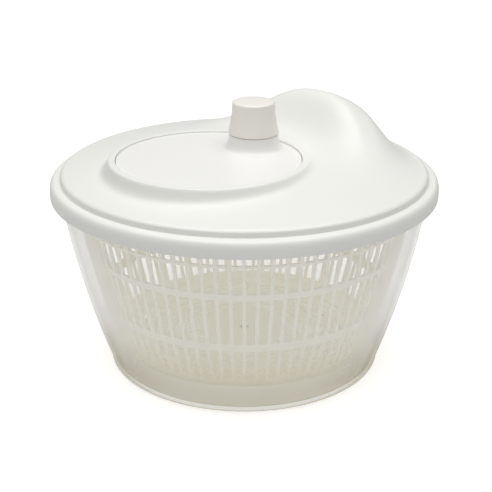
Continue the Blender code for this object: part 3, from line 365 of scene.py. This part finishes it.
def make_bowl():
    """Frosted bowl with a rolled lip, a rounded foot ring and the pivot boss."""
    top = BOWL_HIGH.z - LIP_HEIGHT
    steps = 28
    heights = [WALL_START_Z + (top - WALL_START_Z) * step / steps for step in range(steps + 1)]
    outside = [(bowl_radius(height), height, 0) for height in heights]
    inside = [(radius - BOWL_WALL, height, 0) for radius, height, _ in reversed(outside)]
    profile = rounded([
        (0, BOWL_FLOOR_Z, 0),
        (FOOT_R - 6 * MM, BOWL_FLOOR_Z, 0.5 * MM),
        (FOOT_R - 5.6 * MM, 0, 0.6 * MM),
        (FOOT_R - 0.4 * MM, 0, 1.2 * MM),
        (WALL_START_R - 0.9 * MM, 2.2 * MM, 2.4 * MM),
        (WALL_START_R - 0.5 * MM, 5.5 * MM, 0.8 * MM),
        *outside,
        (BOWL_TOP_R + 0.5 * MM, top + 0.1 * MM, 0.4 * MM),
        (LIP_R, top, 0.9 * MM),
        (LIP_R, BOWL_HIGH.z, 1.0 * MM),
        (BOWL_TOP_R - BOWL_WALL, BOWL_HIGH.z, 0.7 * MM),
        *inside,
        (WALL_START_R - BOWL_WALL - 0.8 * MM, BOWL_FLOOR_TOP, 3.5 * MM),
        (PIN_BOSS_R, BOWL_FLOOR_TOP, 1.2 * MM),
        (PIN_BOSS_R, PIN_BOSS_Z, 0.5 * MM),
        (PIN_BORE_R, PIN_BOSS_Z, 0.2 * MM),
        (PIN_BORE_R, BOWL_FLOOR_TOP + 0.5 * MM, 0),
        (0, BOWL_FLOOR_TOP + 0.5 * MM, 0),
    ])
    mesh = turned_mesh(profile, SPIN_AXIS)
    shell = finish_mesh("bowl_shell", mesh, "bowl", BOWL_FROST)
    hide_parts("bowl")


# ---------------------------------------------------------------- basket

def basket_radius(height):
    return bowl_radius(height) - BOWL_WALL - SPIN_GAP


def split(start, end, longest):
    """Values from start up to, but without, end, no further apart than longest."""
    steps = max(1, math.ceil((end - start) / longest - 1e-6))
    return [start + (end - start) * step / steps for step in range(steps)]


def wall_rows():
    """(height, whether slots start there) from the lowest slot up; the last entry is the rim."""
    rows = []
    for (start, is_slot), (end, _) in zip(SLOT_ROW_EDGES, SLOT_ROW_EDGES[1:]):
        rows += [(height, is_slot) for height in split(start, end, 6 * MM)]
    return rows + [SLOT_ROW_EDGES[-1]]


def lattice(bm, outer, inner, is_open, closed_start):
    """Skin two stacks of rings and the sides of every opening between them."""
    rows, cells = len(outer) - 1, len(outer[0])
    for row in range(rows):
        for cell in range(cells):
            after = (cell + 1) % cells
            if not is_open(row, cell):
                for stack in (outer, inner):
                    bm.faces.new((
                        stack[row][cell], stack[row][after],
                        stack[row + 1][after], stack[row + 1][cell],
                    ))
                continue
            edges = []
            if not is_open(row, (cell - 1) % cells):
                edges.append(((row, cell), (row + 1, cell)))
            if not is_open(row, after):
                edges.append(((row, after), (row + 1, after)))
            if (row == 0 and closed_start) or (row > 0 and not is_open(row - 1, cell)):
                edges.append(((row, cell), (row, after)))
            if row + 1 < rows and not is_open(row + 1, cell):
                edges.append(((row + 1, cell), (row + 1, after)))
            for (row_a, cell_a), (row_b, cell_b) in edges:
                bm.faces.new((
                    outer[row_a][cell_a], outer[row_b][cell_b],
                    inner[row_b][cell_b], inner[row_a][cell_a],
                ))


def rib_angles(radius, count, width, first, steps):
    half = 0.5 * width / radius
    pitch = math.tau / count
    angles = []
    for number in range(count):
        middle = first + number * pitch
        angles.append(middle - half)
        angles += [middle + half + (pitch - 2 * half) * step / steps for step in range(steps)]
    return angles


def basket_wall(bm):
    rows = wall_rows()
    outer, inner = [], []
    for height, _ in rows:
        flare = RIM_FLARE * smooth_step((height - RIM_FLARE_Z) / RIM_FLARE_RISE)
        radius = basket_radius(height) + flare
        angles = rib_angles(radius, RIB_COUNT, RIB_WIDTH, 0, 2)
        outer.append(ring_of_verts(bm, radius, height, angles))
        inner.append(ring_of_verts(bm, basket_radius(height) - BASKET_WALL, height, angles))
    notch_every = RIB_COUNT // NOTCH_COUNT

    def is_open(row, cell):
        height, is_slot = rows[row]
        between_ribs = cell % 3 != 0
        if height >= NOTCH_Z - 1e-6:
            return between_ribs and (cell // 3) % notch_every == 0
        return between_ribs and is_slot

    lattice(bm, outer, inner, is_open, True)
    last = len(rows) - 2
    outer_pairs, inner_pairs = pairs_round(outer[-1]), pairs_round(inner[-1])
    for cell, ((a, b), (d, c)) in enumerate(zip(outer_pairs, inner_pairs)):
        if not is_open(last, cell):
            bm.faces.new((a, b, c, d))
    return outer[0], inner[0]


def basket_floor(bm):
    top = BASKET_FLOOR_Z + BASKET_FLOOR
    edge = basket_radius(BASKET_FLOOR_Z) - BASKET_CORNER
    radii = []
    radius = FLOOR_DISC_R
    while radius + FLOOR_SLOT < edge - FLOOR_LAND:
        radii += [radius, radius + FLOOR_SLOT]
        radius += FLOOR_SLOT + FLOOR_LAND
    arc_steps = 23
    under, over = [], []
    for radius in radii + [edge]:
        angles = rib_angles(radius, FLOOR_SPOKES, FLOOR_SPOKE_WIDTH, SPOKE_TURN, arc_steps)
        under.append(ring_of_verts(bm, radius, BASKET_FLOOR_Z, angles))
        over.append(ring_of_verts(bm, radius, top, angles))
    cells = arc_steps + 1
    lattice(bm, under, over, lambda row, cell: row % 2 == 0 and cell % cells != 0, True)
    return under, over


def basket_eye(bm, under, over):
    """Plain middle of the floor and the stepped hole for the pivot bush's snap head."""
    count = len(under)
    angles = [SPOKE_TURN + math.tau * (step - 0.5) / count for step in range(count)]
    top = BASKET_FLOOR_Z + BASKET_FLOOR
    ring = under
    for radius, height in (
        (EYE_R + 0.3 * MM, BASKET_FLOOR_Z), (EYE_R, BASKET_FLOOR_Z + 0.3 * MM),
        (EYE_R, top - EYE_STEP), (EYE_STEP_R, top - EYE_STEP),
        (EYE_STEP_R, top - 0.4 * MM), (EYE_STEP_R + 0.4 * MM, top),
    ):
        higher = ring_of_verts(bm, radius, height, angles)
        join_rings(bm, ring, higher)
        ring = higher
    join_rings(bm, ring, over)


def basket_corner(bm, floor_edge, wall_edge, sink, reach):
    """A round corner from the floor's edge up to the wall's lowest ring."""
    start_r = basket_radius(BASKET_FLOOR_Z) - BASKET_CORNER
    end = wall_edge[0].co
    end_r = Vector((end.x, end.y)).length
    count = len(wall_edge)
    first = math.atan2(floor_edge[0].co.y, floor_edge[0].co.x)
    turns = [math.atan2(vert.co.y, vert.co.x) for vert in wall_edge]
    nearest = min(
        range(count), key=lambda place: abs(math.remainder(turns[place] - first, math.tau))
    )
    wall_edge = wall_edge[nearest:] + wall_edge[:nearest]
    turns = turns[nearest:] + turns[:nearest]
    floor_z = BASKET_FLOOR_Z + sink
    ring = floor_edge
    steps = 6
    for step in range(1, steps):
        bend = 0.5 * math.pi * step / steps
        radius = start_r + (end_r - reach - start_r) * math.sin(bend)
        height = floor_z + (end.z - floor_z) * 0.62 * (1 - math.cos(bend))
        upper = ring_of_verts(bm, radius, height, turns)
        join_rings(bm, ring, upper)
        ring = upper
    join_rings(bm, ring, wall_edge)


def make_basket():
    bm = bmesh.new()
    wall_outer, wall_inner = basket_wall(bm)
    under, over = basket_floor(bm)
    basket_corner(bm, under[-1], wall_outer, 0, 0.6 * MM)
    basket_corner(bm, over[-1], wall_inner, BASKET_FLOOR, 0.6 * MM)
    basket_eye(bm, under[0], over[0])
    cage = finish_mesh("basket_cage", bm, "basket", BASKET_CREAM, 50)
    soft = cage.modifiers.new("rounded_edges", "BEVEL")
    soft.width = 0.35 * MM
    soft.segments = 2
    soft.limit_method = "ANGLE"
    soft.angle_limit = math.radians(50)
    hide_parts("basket")


# ---------------------------------------------------------------- lid

def lid_height(place):
    """Height of the lid's top surface: a low tilted dome and the palm rest on it."""
    reach = place.length
    along = place.dot(direction(HUMP_TURN))
    across = abs(place.dot(direction(HUMP_TURN + 90)))
    dome = DOME_RISE * (1 - (reach / LID_TOP_R) ** DOME_POWER)
    dome *= 1 + DOME_TILT * along / LID_TOP_R
    spread = ((along - HUMP_REACH) / HUMP_LENGTH) ** 2 + (across / HUMP_WIDTH) ** HUMP_POWER
    inner = smooth_step(((place - CRANK_AXIS).length - COLLAR_R) / HUMP_BLEND_IN)
    outer = smooth_step((LID_TOP_R - reach) / HUMP_BLEND_OUT)
    return STEP_Z + dome + HUMP_HEIGHT * math.exp(-spread) * inner * outer


def level_ring(bm, centre, radius, height):
    ring = []
    for step in range(FINE):
        place = centre + direction(360 * step / FINE, radius)
        level = height(place) if callable(height) else height
        ring.append(bm.verts.new((place.x, place.y, level)))
    return ring


def collar_share(out):
    """How much of the collar's height is left at that distance outside its flat top."""
    share = out / COLLAR_BLEND
    if share < 0.13:
        return 1 - 0.25 * (share / 0.13) ** 2
    return 0.75 * (1 - (share - 0.13) / 0.87) ** 4.6


def rolled_edge(radius, height, across, down, first=0, steps=10):
    """A quarter of an ellipse, from level at the top to upright at that radius."""
    turns = [0.5 * math.pi * step / steps for step in range(first, steps + 1)]
    return [
        (radius - across * (1 - math.sin(turn)), height - down * (1 - math.cos(turn)), 0)
        for turn in turns
    ]


def make_lid():
    bm = bmesh.new()
    rings = []
    for radius, height in rounded([
        (CRANK_BORE_R, WELL_Z, 0.3 * MM), (WELL_R, WELL_Z, 1.0 * MM),
        (WELL_R, COLLAR_Z, 0.6 * MM), (COLLAR_R, COLLAR_Z, 0),
    ]):
        rings.append(level_ring(bm, CRANK_AXIS, radius, height))
    collar_steps = 16
    for step in range(1, collar_steps + 1):
        out = COLLAR_BLEND * (step / collar_steps) ** 1.3
        share = collar_share(out)
        rings.append(level_ring(
            bm, CRANK_AXIS, COLLAR_R + out,
            lambda place: lid_height(place) * (1 - share) + COLLAR_Z * share,
        ))
    spread_steps = 46
    inner_r = COLLAR_R + COLLAR_BLEND
    for step in range(1, spread_steps + 1):
        share = step / spread_steps
        rings.append(level_ring(
            bm, CRANK_AXIS * (1 - share), inner_r + (LID_TOP_R - inner_r) * share, lid_height
        ))
    for radius, height in rounded([
        *rolled_edge(STEP_R, STEP_Z, STEP_ROUND, STEP_FALL, 1),
        (STEP_R + 0.1 * MM, FLANGE_TOP_Z, 0.5 * MM),
        *rolled_edge(LID_R, FLANGE_TOP_Z, FLANGE_ROUND, FLANGE_FALL),
        (LID_R, FLANGE_BOTTOM_Z, 0.6 * MM),
        (FLANGE_INNER_R, FLANGE_BOTTOM_Z, 0.5 * MM), (FLANGE_INNER_R, SEAT_Z, 0.3 * MM),
        (SKIRT_R, SEAT_Z, 0.2 * MM), (SKIRT_R, SKIRT_Z, 0.5 * MM),
        (SKIRT_R - LID_WALL, SKIRT_Z, 0.5 * MM),
    ]):
        rings.append(level_ring(bm, SPIN_AXIS, radius, height))
    under_steps = 30
    back_r = WELL_R + LID_WALL
    for step in range(under_steps + 1):
        share = 1 - step / under_steps
        rings.append(level_ring(
            bm, CRANK_AXIS * (1 - share), back_r + (SKIRT_R - LID_WALL - back_r) * share,
            lambda place: lid_height(place) - LID_SKIN,
        ))
    for radius, height in rounded([
        (back_r, WELL_BOTTOM_Z, 0.4 * MM), (BOSS_R, WELL_BOTTOM_Z, 0.4 * MM),
        (BOSS_R, BEARING_Z, 0.3 * MM), (CRANK_BORE_R, BEARING_Z, 0.2 * MM),
    ], 2):
        rings.append(level_ring(bm, CRANK_AXIS, radius, height))
    for lower, upper in zip(rings, rings[1:] + rings[:1]):
        join_rings(bm, lower, upper)
    shell = finish_mesh("lid_shell", bm, "lid", LID_WHITE, 50)
    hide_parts("lid")


# ---------------------------------------------------------------- crank disc and knob

def make_disc():
    """Disc whose top sweeps up in a cove to the knob's pedestal."""
    bm = bmesh.new()
    offset = KNOB_AXIS - CRANK_AXIS
    sweep_r = DISC_R - 0.6 * MM
    neck_r = KNOB_FOOT_R - 0.5 * MM
    rise = PEDESTAL_Z - DISC_TOP_Z
    rings = []
    for radius, height in rounded([
        (HUB_BORE_R, DISC_LOW.z, 0.3 * MM), (HUB_BORE_R, DISC_BOTTOM_Z - HUB_DROP, 0),
        (HUB_R, DISC_BOTTOM_Z - HUB_DROP, 0.3 * MM), (HUB_R, DISC_BOTTOM_Z, 0.6 * MM),
        (DISC_R, DISC_BOTTOM_Z, 0.3 * MM), (DISC_R, DISC_TOP_Z - 0.2 * MM, 0.8 * MM),
        (sweep_r, DISC_TOP_Z, 0),
    ]):
        rings.append(level_ring(bm, CRANK_AXIS, radius, height))
    steps = 30
    for step in range(1, steps + 1):
        share = step / steps
        centre = CRANK_AXIS + offset * share
        radius = sweep_r + (COVE_R - sweep_r) * share
        rings.append(level_ring(bm, centre, radius, DISC_TOP_Z))
    cove_steps = 14
    for step in range(1, cove_steps + 1):
        share = step / cove_steps
        radius = neck_r + (COVE_R - neck_r) * (1 - share) ** COVE_POWER
        rings.append(level_ring(bm, KNOB_AXIS, radius, DISC_TOP_Z + rise * share ** COVE_POWER))
    for lower, upper in zip(rings, rings[1:]):
        join_rings(bm, lower, upper)
    bm.faces.new(rings[0])
    last = [rings[-1]] + [
        level_ring(bm, KNOB_AXIS, radius, height)
        for radius, height in (
            (neck_r - 0.6 * MM, PEDESTAL_Z), (SPINDLE_R, PEDESTAL_Z),
            (SPINDLE_R, PEDESTAL_Z - SPINDLE_HOLE),
        )
    ]
    for lower, upper in zip(last, last[1:]):
        join_rings(bm, lower, upper)
    bm.faces.new(last[-1])
    disc = finish_mesh("crank_top", bm, "crank", DISC_WHITE)
    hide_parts("crank_disc")


def make_knob():
    """Flared knob with a rounded crown and a hollow foot."""
    low, high = KNOB_LOW.z, KNOB_HIGH.z
    side = []
    steps = 18
    start = 0.9 * MM
    crown = 2.4 * MM
    for step in range(steps + 1):
        share = step / steps
        radius = KNOB_TOP_R + (KNOB_FOOT_R - KNOB_TOP_R) * (1 - share) ** KNOB_WAIST
        side.append((radius, low + start + (high - low - crown - start) * share, 0))
    profile = rounded([
        (0, low + KNOB_HOLLOW, 0), (SPINDLE_R, low + KNOB_HOLLOW, 0), (SPINDLE_R, low, 0.2 * MM),
        (KNOB_FOOT_R - 0.2 * MM, low, 0.6 * MM), *side,
        (KNOB_TOP_R, high, crown), (0, high, 0),
    ])
    mesh = turned_mesh(profile, KNOB_AXIS, 96)
    knob = finish_mesh("knob_body", mesh, "knob", KNOB_WHITE)
    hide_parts("knob")


# ---------------------------------------------------------------- carried-over pieces

def repaint(names, material):
    for name in names:
        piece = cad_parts[name]
        piece.data.materials.clear()
        piece.data.materials.append(material)
        piece.data.shade_smooth()
        piece.data.set_sharp_from_angle(angle=math.radians(35))


# ---------------------------------------------------------------- stage

def camera_switch(tree, lit, seen, socket):
    """One strength for the light that falls on things, another for what the camera sees."""
    path = tree.nodes.new("ShaderNodeLightPath")
    choice = tree.nodes.new("ShaderNodeMapRange")
    choice.inputs["To Min"].default_value = lit
    choice.inputs["To Max"].default_value = seen
    tree.links.new(path.outputs["Is Camera Ray"], choice.inputs["Value"])
    tree.links.new(choice.outputs["Result"], socket)


def make_stage():
    mesh = bpy.data.meshes.new("floor")
    corners = [(-40, -40, 0), (40, -40, 0), (40, 40, 0), (-40, 40, 0)]
    mesh.from_pydata(corners, [], [(0, 1, 2, 3)])
    floor = bpy.data.objects.new("floor", mesh)
    bpy.context.scene.collection.objects.link(floor)
    material = bpy.data.materials.new("floor_white")
    material.use_nodes = True
    tree = material.node_tree
    shader = tree.nodes["Principled BSDF"]
    shader.inputs["Base Color"].default_value = (0.62, 0.62, 0.62, 1)
    shader.inputs["Emission Color"].default_value = (1, 1, 1, 1)
    shader.inputs["Roughness"].default_value = 0.9
    shader.inputs["Specular IOR Level"].default_value = 0.0
    camera_switch(tree, 0.14, 0.66, shader.inputs["Emission Strength"])
    mesh.materials.append(material)


def area_light(name, place, aim, size, power, colour=(1, 1, 1)):
    data = bpy.data.lights.new(name, "AREA")
    data.shape = "DISK"
    data.size = size
    data.energy = power
    data.color = colour
    light = bpy.data.objects.new(name, data)
    light.location = place
    light.rotation_euler = (Vector(aim) - Vector(place)).to_track_quat("-Z", "Y").to_euler()
    bpy.context.scene.collection.objects.link(light)


def make_lights():
    scene = bpy.context.scene
    world = bpy.data.worlds.new("studio")
    world.use_nodes = True
    background = world.node_tree.nodes["Background"]
    background.inputs["Color"].default_value = (1, 1, 1, 1)
    camera_switch(world.node_tree, 0.30, 0.97, background.inputs["Strength"])
    scene.world = world
    area_light("overhead", (-0.02, -0.14, 1.5), (0, 0, 0.08), 1.9, 22)
    scene.view_settings.view_transform = "Standard"


def make_camera():
    data = bpy.data.cameras.new("camera")
    data.lens = 86.5
    data.sensor_width = 36
    data.shift_x = 0.0035
    camera = bpy.data.objects.new("camera", data)
    camera.location = (0, -0.700, 0.35157)
    camera.rotation_euler = (math.radians(90 - 21.66), 0, 0)
    bpy.context.scene.collection.objects.link(camera)
    bpy.context.scene.camera = camera


make_bowl()
make_basket()
make_lid()
make_disc()
make_knob()
repaint(["drive_plate"], PLATE_WHITE)
repaint(["ring_gear", "pinion", "knob_spindle"], GEAR_GREY)
repaint(["pivot_bush", "crank_bush", "shaft_bush"], BEARING_WHITE)
repaint(["ring_screw_1", "ring_screw_2", "ring_screw_3"], SCREW_STEEL)
repaint(["crank_washer", "crank_screw", "plate_screw"], SCREW_STEEL)
repaint(["pivot_pin"], PIN_STEEL)
make_stage()
make_lights()
make_camera()
